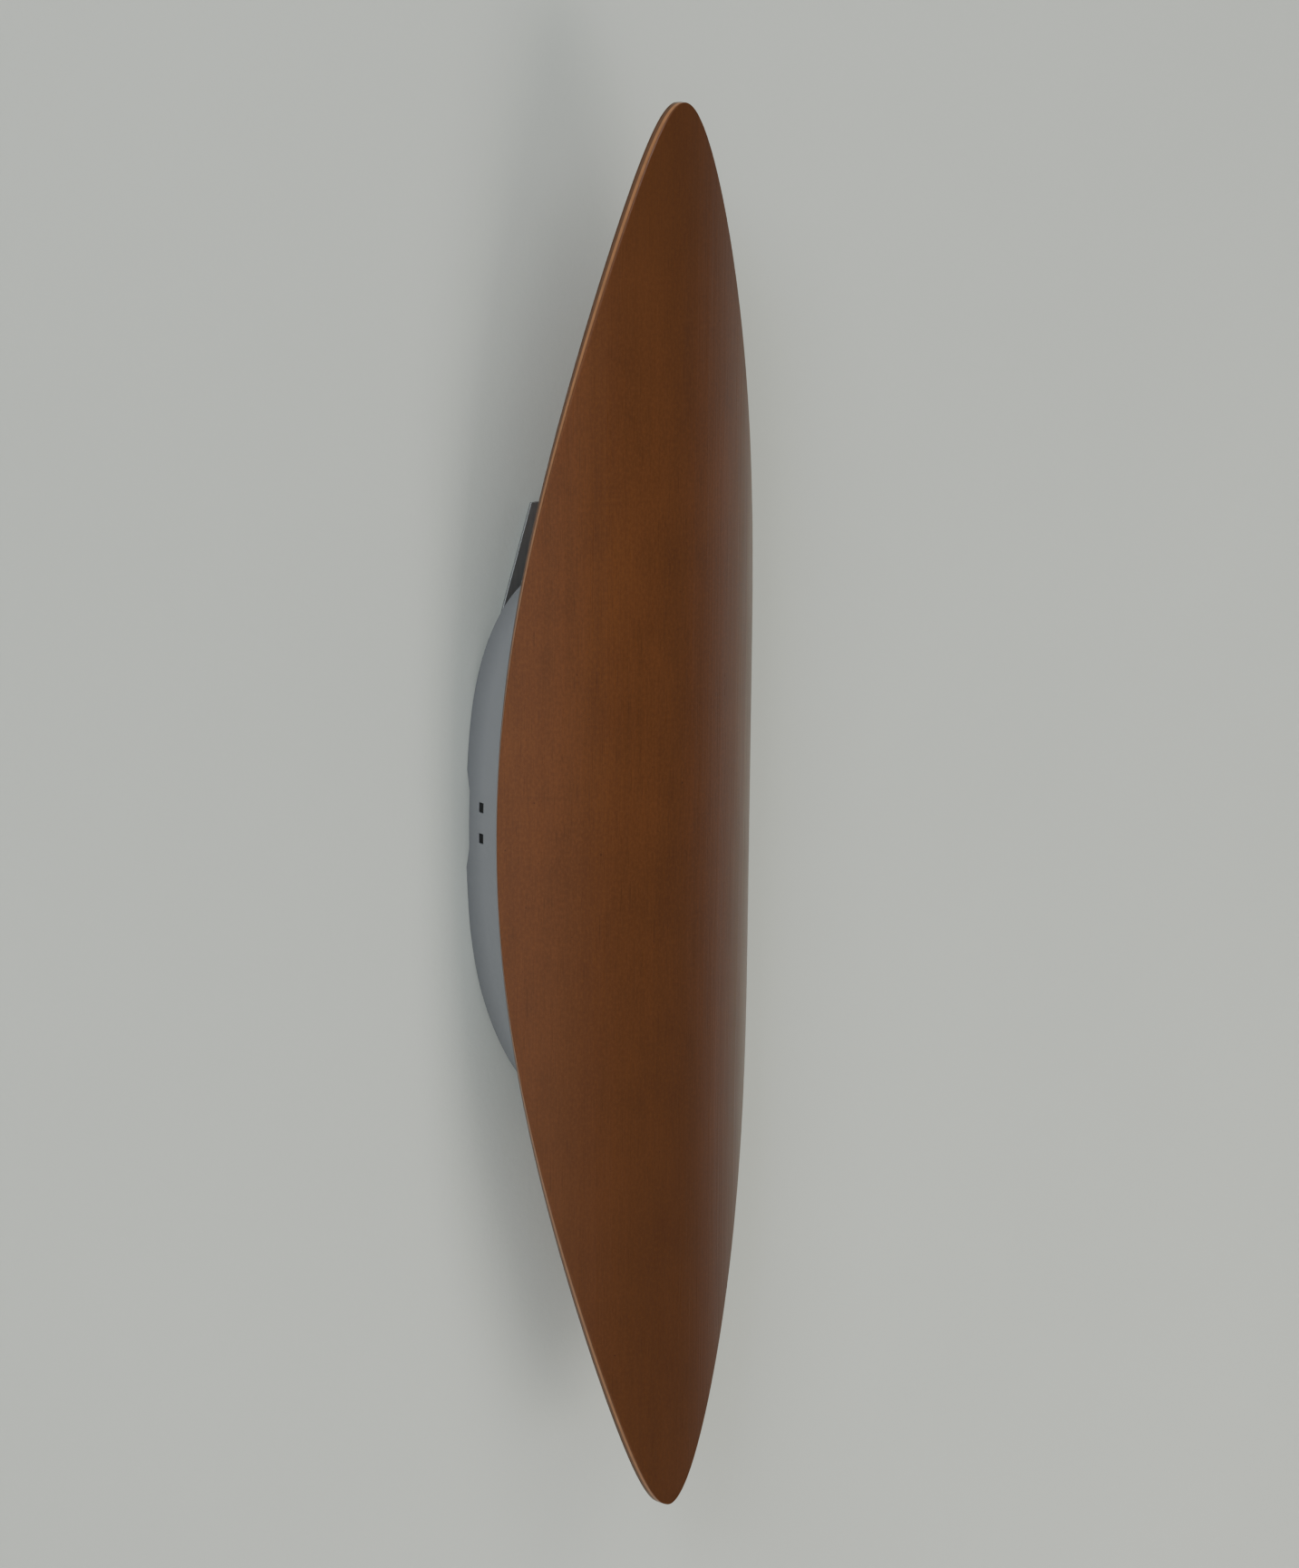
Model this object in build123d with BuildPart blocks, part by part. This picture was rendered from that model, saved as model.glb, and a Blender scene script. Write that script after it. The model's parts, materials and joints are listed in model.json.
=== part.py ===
"""Wooden wall lamp: leaf-shaped moulded plywood shield hung in front of a grey steel body.

Frame: origin on the wall at the middle of the back plate, +Z up, +Y into the wall, the lamp faces -Y.
Units: mm.
"""
import math
import os

from build123d import *

os.makedirs("parts", exist_ok=True)

# ---------------------------------------------------------------- driving dimensions
SHIELD_HALF = 280.0        # half height of the shield
SHIELD_ARC = 73.63         # half width of the flat leaf at mid height, measured along the bend
SHIELD_R_OUT = 81.25       # bend radius of the front surface
SHIELD_T = 4.0             # plywood thickness
SHIELD_R_IN = SHIELD_R_OUT - SHIELD_T
STAND_OFF = 56.0           # wall to the foremost line of the shield
AXIS_Y = SHIELD_R_OUT - STAND_OFF   # bend axis, behind the wall
LEAF = (0.8637, -0.1145, 0.2257)    # how full the leaf outline is

PAN_T = 1.5                # sheet thickness of the body
CHEEK_X = 60.32            # outer half width of the body at mid height
CHEEK_R = 419.0            # plan radius of the cheeks
PAN_FLAT = 31.0            # half length of the part of a cheek that lies on the wall
PAN_END = 109.7            # half length of a cheek
PAN_POWER = 2.55           # how square the rear profile turns forward (2 is an ellipse)
PAN_FRONT_R = 76.2         # cheeks end this far from the bend axis, just clear of the shield
BACK_HALF = 52.0           # half length of the back plate

RELIEF_HALF = 19.5        # shallow relief in a cheek's rear edge: half length, sloping ends and depth
RELIEF_RAMP = 8.0
RELIEF_D = 2.0
SLOT_Y = -9.7             # cheek slots
SLOT_Z = (10.7, -1.6)
SLOT_W = 2.9
SLOT_H = 4.0

WALL_HOLE_X = 38.0         # fixing holes
WALL_HOLE_Z = 31.0
WALL_HOLE_R = 2.6

GROMMET_X = -34.0
GROMMET_Z = 4.5
GROMMET_HOLE_R = 6.0
GROMMET_BORE_R = 4.0

STRAP_Z = 62.0             # middle of the upper strap, the lower one is its mirror
STRAP_H = 14.0
STRAP_R0, STRAP_R1 = 71.5, 73.5
TAB_REAR_Y = -9.0

HOOK_ANGLE = 24.0          # where the hooks sit round the bend
HOOK_W = 12.0

REFL_T = 1.0
REFL_START = 44.0
REFL_KNEE = 66.0
REFL_END = 126.0
REFL_W0, REFL_W1 = 50.8, 30.2        # upper plate
REFL_LOW_W0, REFL_LOW_W1 = 48.0, 27.5   # lower plate

HOLDER_Y = -24.0           # lamp axis
BRACKET_T = 1.4
BRACKET_Z = 42.0
HOLDER_LEN = 20.0
LAMP_GAP = 0.5
PIN_X = 4.5
PIN_R = 0.6

COVER_Z0, COVER_Z1 = -10.0, 19.0
COVER_Y = -18.0
COVER_T = 1.5


def leaf_half(z):
    """Half width of the flat leaf at height z."""
    q = max(0.0, 1.0 - (z / SHIELD_HALF) ** 2)
    a, b, c = LEAF
    return SHIELD_ARC * math.sqrt(q) * (1 + a * q + b * q * q + c * q ** 3) / (1 + a + b + c)


def edge_flare(z):
    """How far the back of the sheet runs on past the front at the slanted cut edge, along the bend."""
    u = abs(z) / SHIELD_HALF
    return 1.25 + 1.5 * u * math.sqrt(max(0.0, 1.0 - u * u)) - 0.25 * u * u


def polar(r, angle):
    """Point at radius r and angle (radians, 0 towards the room, positive to +X) round the bend axis."""
    return (r * math.sin(angle), AXIS_Y - r * math.cos(angle))


def cheek_prism(inset, depth=70.0):
    """Lens-shaped prism along Y bounded by the cheek arcs moved in by inset."""
    x0 = CHEEK_X - inset
    r = CHEEK_R - inset
    z1 = 130.0
    x1 = x0 - (r - math.sqrt(r * r - z1 * z1))
    with BuildPart(mode=Mode.PRIVATE) as p:
        with BuildSketch(Plane.XZ):
            with BuildLine():
                ThreePointArc((x1, -z1), (x0, 0), (x1, z1))
                Line((x1, z1), (-x1, z1))
                ThreePointArc((-x1, z1), (-x0, 0), (-x1, -z1))
                Line((-x1, -z1), (x1, -z1))
            make_face()
        extrude(amount=depth)
    return p.part


def axis_tube(r0, r1, z0, z1):
    """Ring round the bend axis."""
    with BuildPart(mode=Mode.PRIVATE) as p:
        with Locations((0, AXIS_Y, (z0 + z1) / 2)):
            Cylinder(r1, z1 - z0)
            Cylinder(r0, z1 - z0, mode=Mode.SUBTRACT)
    return p.part


def block(x0, x1, y0, y1, z0, z1):
    """Box from its limits."""
    return Pos((x0 + x1) / 2, (y0 + y1) / 2, (z0 + z1) / 2) * Box(x1 - x0, y1 - y0, z1 - z0, mode=Mode.PRIVATE)


def rod_y(x, z, r, y0, y1):
    """Round bar along Y."""
    return Pos(x, (y0 + y1) / 2, z) * Rot(90, 0, 0) * Cylinder(r, y1 - y0, mode=Mode.PRIVATE)


def rod_z(x, y, r, z0, z1):
    """Round bar along Z."""
    return Pos(x, y, (z0 + z1) / 2) * Cylinder(r, z1 - z0, mode=Mode.PRIVATE)


def rod_radial(angle, z, r, r0, r1):
    """Round bar along a radius of the bend."""
    m = (r0 + r1) / 2
    x, y = polar(m, angle)
    return Pos(x, y, z) * Rot(0, 0, math.degrees(angle)) * Rot(90, 0, 0) * Cylinder(r, r1 - r0, mode=Mode.PRIVATE)


HOOKS = {
    "upper_left": (-HOOK_ANGLE, STRAP_Z + STRAP_H / 2),
    "upper_right": (HOOK_ANGLE, STRAP_Z + STRAP_H / 2),
    "lower_left": (-HOOK_ANGLE, -STRAP_Z + STRAP_H / 2),
    "lower_right": (HOOK_ANGLE, -STRAP_Z + STRAP_H / 2),
}
HOOK_SCREW_DZ = (-18.5, 8.0)   # from the top edge of the strap

# ---------------------------------------------------------------- shield
with BuildPart() as shield:
    steps = 46
    for i in range(steps + 1):
        a = math.radians(-87.6 + 175.2 * i / steps)
        z = SHIELD_HALF * math.sin(a)
        t = leaf_half(z) / SHIELD_R_OUT
        b = t + edge_flare(z) / SHIELD_R_IN
        with BuildSketch(Plane((0, 0, z), x_dir=(1, 0, 0), z_dir=(0, 0, 1))):
            with BuildLine():
                ThreePointArc(polar(SHIELD_R_OUT, -t), polar(SHIELD_R_OUT, 0), polar(SHIELD_R_OUT, t))
                Line(polar(SHIELD_R_OUT, t), polar(SHIELD_R_IN, b))
                ThreePointArc(polar(SHIELD_R_IN, b), polar(SHIELD_R_IN, 0), polar(SHIELD_R_IN, -b))
                Line(polar(SHIELD_R_IN, -b), polar(SHIELD_R_OUT, -t))
            make_face()
    loft(ruled=True)
    for angle, top in HOOKS.values():
        for dz in HOOK_SCREW_DZ:
            add(rod_radial(math.radians(angle), top + dz, 1.2, SHIELD_R_IN - 0.4, SHIELD_R_IN + 2.7), mode=Mode.SUBTRACT)
shield.part.label = "shield"
export_step(shield.part, "parts/shield.step")

# ---------------------------------------------------------------- grey body
def rear_y(u):
    """Rear profile of a cheek: 0 on the wall at u = 0, forward to the shield's front line at u = 1."""
    return -STAND_OFF * (1.0 - (1.0 - u ** PAN_POWER) ** (1.0 / PAN_POWER))


PAN_CURVE = [
    (rear_y(u), PAN_FLAT + (PAN_END - PAN_FLAT) * u)
    for u in (0.0, 0.15, 0.3, 0.45, 0.6, 0.72, 0.82, 0.9, 0.955, 0.985, 1.0)
]


def cheek_solid(side):
    """One curved cheek (side -1 left, 1 right): a slice of the lens-shaped wall, cut to the swept rear profile and to the shield."""
    with BuildPart(mode=Mode.PRIVATE) as p:
        with BuildSketch(Plane.YZ):
            with BuildLine():
                Spline(*PAN_CURVE, tangents=((0, 1), (-1, 0)))
                Line((-STAND_OFF, PAN_END), (-70, PAN_END))
                Line((-70, PAN_END), (-70, -PAN_END))
                Line((-70, -PAN_END), (-STAND_OFF, -PAN_END))
                Spline(*[(y, -z) for y, z in reversed(PAN_CURVE)], tangents=((1, 0), (0, 1)))
                Line((0, -PAN_FLAT), (0, PAN_FLAT))
            make_face()
        extrude(amount=70, dir=(side, 0, 0))
        add(cheek_prism(0.0), mode=Mode.INTERSECT)
        add(cheek_prism(PAN_T), mode=Mode.SUBTRACT)
        with Locations((0, AXIS_Y, 0)):
            Cylinder(PAN_FRONT_R, 260, mode=Mode.INTERSECT)
        for sz in SLOT_Z:
            add(block(side * 58 - 4, side * 58 + 4, SLOT_Y - SLOT_W / 2, SLOT_Y + SLOT_W / 2, sz - SLOT_H / 2, sz + SLOT_H / 2), mode=Mode.SUBTRACT)
        # shallow relief in the rear edge with sloping ends, level with the slots
        mid = sum(SLOT_Z) / 2
        with BuildPart(mode=Mode.PRIVATE) as relief:
            with BuildSketch(Plane.YZ):
                with BuildLine():
                    Polyline(
                        (0.5, mid - RELIEF_HALF - 2), (0, mid - RELIEF_HALF),
                        (-RELIEF_D, mid - RELIEF_HALF + RELIEF_RAMP), (-RELIEF_D, mid + RELIEF_HALF - RELIEF_RAMP),
                        (0, mid + RELIEF_HALF), (0.5, mid + RELIEF_HALF + 2), close=True)
                make_face()
            extrude(amount=70, dir=(side, 0, 0))
        add(relief.part, mode=Mode.SUBTRACT)
    return p.part


with BuildPart() as cheek_left:
    add(cheek_solid(-1))
cheek_left.part.label = "cheek_left"
export_step(cheek_left.part, "parts/cheek_left.step")

with BuildPart() as cheek_right:
    add(cheek_solid(1))
cheek_right.part.label = "cheek_right"
export_step(cheek_right.part, "parts/cheek_right.step")

with BuildPart() as back_plate:
    # fits between the cheeks, welded to them along its curved sides
    add(block(-70, 70, -PAN_T, 0, -BACK_HALF, BACK_HALF))
    add(cheek_prism(PAN_T), mode=Mode.INTERSECT)
    for hx in (-WALL_HOLE_X, WALL_HOLE_X):
        for hz in (-WALL_HOLE_Z, WALL_HOLE_Z):
            add(rod_y(hx, hz, WALL_HOLE_R, -5, 5), mode=Mode.SUBTRACT)
    add(rod_y(GROMMET_X, GROMMET_Z, GROMMET_HOLE_R, -5, 5), mode=Mode.SUBTRACT)
back_plate.part.label = "back_plate"
export_step(back_plate.part, "parts/back_plate.step")

# ---------------------------------------------------------------- cross straps
with BuildPart() as strap_upper:
    add(axis_tube(STRAP_R0, STRAP_R1, STRAP_Z - STRAP_H / 2, STRAP_Z + STRAP_H / 2))
    add(block(-70, 70, -70, -10, 40, 90), mode=Mode.INTERSECT)
    add(cheek_prism(PAN_T), mode=Mode.INTERSECT)
    with BuildPart(mode=Mode.PRIVATE) as tabs:
        add(block(-70, 70, -26.0, TAB_REAR_Y, STRAP_Z - STRAP_H / 2, STRAP_Z + STRAP_H / 2))
        add(cheek_prism(PAN_T), mode=Mode.INTERSECT)
        add(cheek_prism(PAN_T + 1.5), mode=Mode.SUBTRACT)
        with Locations((0, AXIS_Y, 0)):
            Cylinder(STRAP_R1, 260, mode=Mode.INTERSECT)
    add(tabs.part)
strap_upper.part.label = "strap_upper"
export_step(strap_upper.part, "parts/strap_upper.step")

with BuildPart() as strap_lower:
    add(strap_upper.part.mirror(Plane.XY))
strap_lower.part.label = "strap_lower"
export_step(strap_lower.part, "parts/strap_lower.step")


# ---------------------------------------------------------------- shield hooks
def hook_solid(angle, top):
    """Bent strip: a leg on the shield, a shelf over the strap and a tongue down behind it."""
    with BuildPart(mode=Mode.PRIVATE) as p:
        add(axis_tube(75.25, SHIELD_R_IN - 0.03, top - 22.0, top + 12.0))
        add(axis_tube(69.0, SHIELD_R_IN - 0.03, top + 0.6, top + 2.6))
        add(axis_tube(69.0, 71.0, top - 8.0, top + 2.6))
        x, y = polar(73.0, math.radians(angle))
        add(Pos(x, y, top - 5) * Rot(0, 0, angle) * Box(HOOK_W, 14, 60, mode=Mode.PRIVATE), mode=Mode.INTERSECT)
        for dz in HOOK_SCREW_DZ:
            add(rod_radial(math.radians(angle), top + dz, 1.2, 74.0, 79.0), mode=Mode.SUBTRACT)
    return p.part


def hook_screw_solid(angle, top):
    """Two short pan-head screws, shank into the plywood."""
    with BuildPart(mode=Mode.PRIVATE) as p:
        for dz in HOOK_SCREW_DZ:
            add(rod_radial(math.radians(angle), top + dz, 2.4, 74.0, 75.22))
            add(rod_radial(math.radians(angle), top + dz, 1.15, 75.0, SHIELD_R_IN + 2.6))
    return p.part


with BuildPart() as hook_upper_left:
    add(hook_solid(*HOOKS["upper_left"]))
hook_upper_left.part.label = "hook_upper_left"
export_step(hook_upper_left.part, "parts/hook_upper_left.step")

with BuildPart() as hook_upper_right:
    add(hook_solid(*HOOKS["upper_right"]))
hook_upper_right.part.label = "hook_upper_right"
export_step(hook_upper_right.part, "parts/hook_upper_right.step")

with BuildPart() as hook_lower_left:
    add(hook_solid(*HOOKS["lower_left"]))
hook_lower_left.part.label = "hook_lower_left"
export_step(hook_lower_left.part, "parts/hook_lower_left.step")

with BuildPart() as hook_lower_right:
    add(hook_solid(*HOOKS["lower_right"]))
hook_lower_right.part.label = "hook_lower_right"
export_step(hook_lower_right.part, "parts/hook_lower_right.step")

with BuildPart() as hook_screws_upper_left:
    add(hook_screw_solid(*HOOKS["upper_left"]))
hook_screws_upper_left.part.label = "hook_screws_upper_left"
export_step(hook_screws_upper_left.part, "parts/hook_screws_upper_left.step")

with BuildPart() as hook_screws_upper_right:
    add(hook_screw_solid(*HOOKS["upper_right"]))
hook_screws_upper_right.part.label = "hook_screws_upper_right"
export_step(hook_screws_upper_right.part, "parts/hook_screws_upper_right.step")

with BuildPart() as hook_screws_lower_left:
    add(hook_screw_solid(*HOOKS["lower_left"]))
hook_screws_lower_left.part.label = "hook_screws_lower_left"
export_step(hook_screws_lower_left.part, "parts/hook_screws_lower_left.step")

with BuildPart() as hook_screws_lower_right:
    add(hook_screw_solid(*HOOKS["lower_right"]))
hook_screws_lower_right.part.label = "hook_screws_lower_right"
export_step(hook_screws_lower_right.part, "parts/hook_screws_lower_right.step")

# ---------------------------------------------------------------- reflectors
REFL_SCREWS = ((-30.0, 48.0), (30.0, 48.0))

def reflector_solid(w0, w1):
    """Tapered plate above the back plate, w0 half wide at its foot and w1 at its end."""
    with BuildPart(mode=Mode.PRIVATE) as p:
        with BuildSketch(Plane.XZ.offset(PAN_T)):
            with BuildLine():
                Polyline(
                    (-w0, REFL_START), (-w0, REFL_KNEE), (-w1, REFL_END),
                    (w1, REFL_END), (w0, REFL_KNEE), (w0, REFL_START),
                    close=True,
                )
            make_face()
        extrude(amount=REFL_T)
        for sx, sz in REFL_SCREWS:
            add(rod_y(sx, sz, 1.5, -5, 5), mode=Mode.SUBTRACT)
    return p.part


with BuildPart() as reflector_upper:
    add(reflector_solid(REFL_W0, REFL_W1))
reflector_upper.part.label = "reflector_upper"
export_step(reflector_upper.part, "parts/reflector_upper.step")

with BuildPart() as reflector_lower:
    add(reflector_solid(REFL_LOW_W0, REFL_LOW_W1).mirror(Plane.XY))
reflector_lower.part.label = "reflector_lower"
export_step(reflector_lower.part, "parts/reflector_lower.step")

with BuildPart() as reflector_screws_upper:
    for sx, sz in REFL_SCREWS:
        add(rod_y(sx, sz, 2.8, -PAN_T - REFL_T - 1.8, -PAN_T - REFL_T))
        add(rod_y(sx, sz, 1.45, -PAN_T - REFL_T - 0.5, -PAN_T))
reflector_screws_upper.part.label = "reflector_screws_upper"
export_step(reflector_screws_upper.part, "parts/reflector_screws_upper.step")

with BuildPart() as reflector_screws_lower:
    add(reflector_screws_upper.part.mirror(Plane.XY))
reflector_screws_lower.part.label = "reflector_screws_lower"
export_step(reflector_screws_lower.part, "parts/reflector_screws_lower.step")

# ---------------------------------------------------------------- lampholder brackets
LEAD_X = 4.0

with BuildPart() as holder_bracket_upper:
    add(block(-9, 9, -PAN_T - BRACKET_T, -PAN_T, 23.0, BRACKET_Z + BRACKET_T))
    add(block(-9, 9, -33.0, -PAN_T, BRACKET_Z, BRACKET_Z + BRACKET_T))
    for sx in (-5.5, 5.5):
        add(rod_y(sx, 32.0, 1.6, -6, 0), mode=Mode.SUBTRACT)
    for sx in (-LEAD_X, LEAD_X):
        add(rod_z(sx, HOLDER_Y, 1.6, 40, 46), mode=Mode.SUBTRACT)
    add(rod_z(0, HOLDER_Y + 5.0, 1.3, 40, 46), mode=Mode.SUBTRACT)
    add(rod_z(0, HOLDER_Y - 5.0, 1.3, 40, 46), mode=Mode.SUBTRACT)
holder_bracket_upper.part.label = "holder_bracket_upper"
export_step(holder_bracket_upper.part, "parts/holder_bracket_upper.step")

with BuildPart() as holder_bracket_lower:
    add(holder_bracket_upper.part.mirror(Plane.XY))
holder_bracket_lower.part.label = "holder_bracket_lower"
export_step(holder_bracket_lower.part, "parts/holder_bracket_lower.step")

with BuildPart() as bracket_rivets_upper:
    for sx in (-5.5, 5.5):
        with Locations((sx, -PAN_T - BRACKET_T, 32.0)):
            Sphere(3.2, rotation=(0, 0, 0))
    add(block(-12, 12, -PAN_T - BRACKET_T - 1.5, -PAN_T - BRACKET_T, 26, 38), mode=Mode.INTERSECT)
    for sx in (-5.5, 5.5):
        add(rod_y(sx, 32.0, 1.55, -PAN_T - BRACKET_T - 0.3, -PAN_T))
bracket_rivets_upper.part.label = "bracket_rivets_upper"
export_step(bracket_rivets_upper.part, "parts/bracket_rivets_upper.step")

with BuildPart() as bracket_rivets_lower:
    add(bracket_rivets_upper.part.mirror(Plane.XY))
bracket_rivets_lower.part.label = "bracket_rivets_lower"
export_step(bracket_rivets_lower.part, "parts/bracket_rivets_lower.step")

# ---------------------------------------------------------------- lampholders
H0 = BRACKET_Z + BRACKET_T
H1 = H0 + HOLDER_LEN

with BuildPart() as lampholder_upper:
    with BuildSketch(Plane.XY.offset(H0)):
        with Locations((0, HOLDER_Y)):
            RectangleRounded(22, 15, 4.5)
    extrude(amount=HOLDER_LEN)
    chamfer(lampholder_upper.faces().sort_by(Axis.Z)[-1].edges(), 0.9)
    # shallow seat for the lamp base
    add(block(-8.4, 8.4, HOLDER_Y - 4.9, HOLDER_Y + 4.9, H1 - 3.0, H1 + 1), mode=Mode.SUBTRACT)
    for sx in (-PIN_X, PIN_X):
        add(rod_z(sx, HOLDER_Y, 1.1, H1 - 16.0, H1), mode=Mode.SUBTRACT)
    # lead holes from below
    for sx in (-LEAD_X, LEAD_X):
        add(rod_z(sx, HOLDER_Y, 1.4, H0 - 1, H0 + 2.6), mode=Mode.SUBTRACT)
    for sy in (-5.0, 5.0):
        add(rod_z(0, HOLDER_Y + sy, 1.25, H0 - 1, H0 + 6.0), mode=Mode.SUBTRACT)
lampholder_upper.part.label = "lampholder_upper"
export_step(lampholder_upper.part, "parts/lampholder_upper.step")

with BuildPart() as lampholder_lower:
    add(lampholder_upper.part.mirror(Plane.XY))
lampholder_lower.part.label = "lampholder_lower"
export_step(lampholder_lower.part, "parts/lampholder_lower.step")

with BuildPart() as holder_screws_upper:
    for sy in (-5.0, 5.0):
        add(rod_z(0, HOLDER_Y + sy, 2.2, BRACKET_Z - 1.6, BRACKET_Z))
        add(rod_z(0, HOLDER_Y + sy, 1.2, BRACKET_Z - 0.4, H0 + 5.6))
holder_screws_upper.part.label = "holder_screws_upper"
export_step(holder_screws_upper.part, "parts/holder_screws_upper.step")

with BuildPart() as holder_screws_lower:
    add(holder_screws_upper.part.mirror(Plane.XY))
holder_screws_lower.part.label = "holder_screws_lower"
export_step(holder_screws_lower.part, "parts/holder_screws_lower.step")

# ---------------------------------------------------------------- capsule lamps
B0 = H1 - 3.0 + LAMP_GAP   # underside of the lamp base, in the holder's seat
B1 = B0 + 10.0
G1 = B1 + 42.0
GLASS_R = 8.5

with BuildPart() as lamp_base_upper:
    with BuildSketch(Plane.XY.offset(B0)):
        with Locations((0, HOLDER_Y)):
            RectangleRounded(15.6, 8.6, 1.2)
    extrude(amount=4.0)
    with BuildSketch(Plane.XY.offset(B0 + 4.0)):
        with Locations((0, HOLDER_Y)):
            RectangleRounded(15.6, 8.6, 1.2)
    with BuildSketch(Plane.XY.offset(B1)):
        with Locations((0, HOLDER_Y)):
            RectangleRounded(16.6, 16.6, 8.0)
    loft()
    for sx in (-PIN_X, PIN_X):
        add(rod_z(sx, HOLDER_Y, PIN_R, B0 - 1, B0 + 3.0), mode=Mode.SUBTRACT)
lamp_base_upper.part.label = "lamp_base_upper"
export_step(lamp_base_upper.part, "parts/lamp_base_upper.step")

with BuildPart() as lamp_base_lower:
    add(lamp_base_upper.part.mirror(Plane.XY))
lamp_base_lower.part.label = "lamp_base_lower"
export_step(lamp_base_lower.part, "parts/lamp_base_lower.step")

with BuildPart() as lamp_glass_upper:
    with BuildSketch(Plane((0, HOLDER_Y, 0), x_dir=(1, 0, 0), z_dir=(0, -1, 0))):
        with BuildLine():
            Line((0, B1 + 1.0), (0, B1))
            Line((0, B1), (GLASS_R - 0.4, B1))
            Line((GLASS_R - 0.4, B1), (GLASS_R, B1 + 2.0))
            Line((GLASS_R, B1 + 2.0), (GLASS_R, G1 - GLASS_R))
            ThreePointArc((GLASS_R, G1 - GLASS_R), (GLASS_R * math.sin(math.pi / 4), G1 - GLASS_R + GLASS_R * math.cos(math.pi / 4)), (0, G1))
            Line((0, G1), (0, G1 - 1.0))
            ThreePointArc((0, G1 - 1.0), ((GLASS_R - 1) * math.sin(math.pi / 4), G1 - GLASS_R + (GLASS_R - 1) * math.cos(math.pi / 4)), (GLASS_R - 1.0, G1 - GLASS_R))
            Line((GLASS_R - 1.0, G1 - GLASS_R), (GLASS_R - 1.0, B1 + 1.0))
            Line((GLASS_R - 1.0, B1 + 1.0), (0, B1 + 1.0))
        make_face()
    revolve(axis=Axis((0, HOLDER_Y, 0), (0, 0, 1)), revolution_arc=360)
lamp_glass_upper.part.label = "lamp_glass_upper"
export_step(lamp_glass_upper.part, "parts/lamp_glass_upper.step")

with BuildPart() as lamp_glass_lower:
    add(lamp_glass_upper.part.mirror(Plane.XY))
lamp_glass_lower.part.label = "lamp_glass_lower"
export_step(lamp_glass_lower.part, "parts/lamp_glass_lower.step")

with BuildPart() as lamp_core_upper:
    add(block(-3.2, 3.2, HOLDER_Y - 3.2, HOLDER_Y + 3.2, B1 + 1.0, G1 - 7.0))
    chamfer(lamp_core_upper.edges().filter_by(Axis.Z), 1.0)
lamp_core_upper.part.label = "lamp_core_upper"
export_step(lamp_core_upper.part, "parts/lamp_core_upper.step")

with BuildPart() as lamp_core_lower:
    add(lamp_core_upper.part.mirror(Plane.XY))
lamp_core_lower.part.label = "lamp_core_lower"
export_step(lamp_core_lower.part, "parts/lamp_core_lower.step")

with BuildPart() as lamp_pins_upper:
    for sx in (-PIN_X, PIN_X):
        add(rod_z(sx, HOLDER_Y, PIN_R, B0 - 11.5, B0 + 3.0))
lamp_pins_upper.part.label = "lamp_pins_upper"
export_step(lamp_pins_upper.part, "parts/lamp_pins_upper.step")

with BuildPart() as lamp_pins_lower:
    add(lamp_pins_upper.part.mirror(Plane.XY))
lamp_pins_lower.part.label = "lamp_pins_lower"
export_step(lamp_pins_lower.part, "parts/lamp_pins_lower.step")

# ---------------------------------------------------------------- terminal block
POLES = (-10.0, 0.0, 10.0)
T_Z0, T_Z1 = -4.0, 13.0
T_Y = -9.0

with BuildPart() as terminal_block:
    add(block(-15, 15, -13.5, -PAN_T, T_Z0, T_Z1))
    chamfer(terminal_block.edges().filter_by(Axis.X).group_by(Axis.Y)[0], 2.0)
    for px in POLES:
        add(rod_z(px, T_Y, 2.6, T_Z0 - 1, T_Z1 + 1), mode=Mode.SUBTRACT)
        for pz in (T_Z0 + 4.2, T_Z1 - 4.2):
            add(rod_y(px, pz, 2.0, -15, T_Y), mode=Mode.SUBTRACT)
    for px in (-5.0, 5.0):
        add(block(px - 0.7, px + 0.7, -15, -11.5, T_Z0 - 1, T_Z1 + 1), mode=Mode.SUBTRACT)
terminal_block.part.label = "terminal_block"
export_step(terminal_block.part, "parts/terminal_block.step")

with BuildPart() as terminal_tubes:
    for px in POLES:
        add(rod_z(px, T_Y, 2.55, T_Z0 + 0.8, T_Z1 - 0.8))
    for px in POLES:
        add(rod_z(px, T_Y, 1.45, T_Z0 - 1, T_Z1 + 1), mode=Mode.SUBTRACT)
        for pz in (T_Z0 + 4.2, T_Z1 - 4.2):
            add(rod_y(px, pz, 1.5, -15, T_Y), mode=Mode.SUBTRACT)
terminal_tubes.part.label = "terminal_tubes"
export_step(terminal_tubes.part, "parts/terminal_tubes.step")

with BuildPart() as terminal_screws:
    for px in POLES:
        for pz in (T_Z0 + 4.2, T_Z1 - 4.2):
            add(rod_y(px, pz, 1.45, -13.0, T_Y - 1.5))
            add(block(px - 1.2, px + 1.2, -13.5, -12.5, pz - 0.25, pz + 0.25), mode=Mode.SUBTRACT)
terminal_screws.part.label = "terminal_screws"
export_step(terminal_screws.part, "parts/terminal_screws.step")

# ---------------------------------------------------------------- wiring cover
COVER_X = CHEEK_X - PAN_T - 0.6

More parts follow.
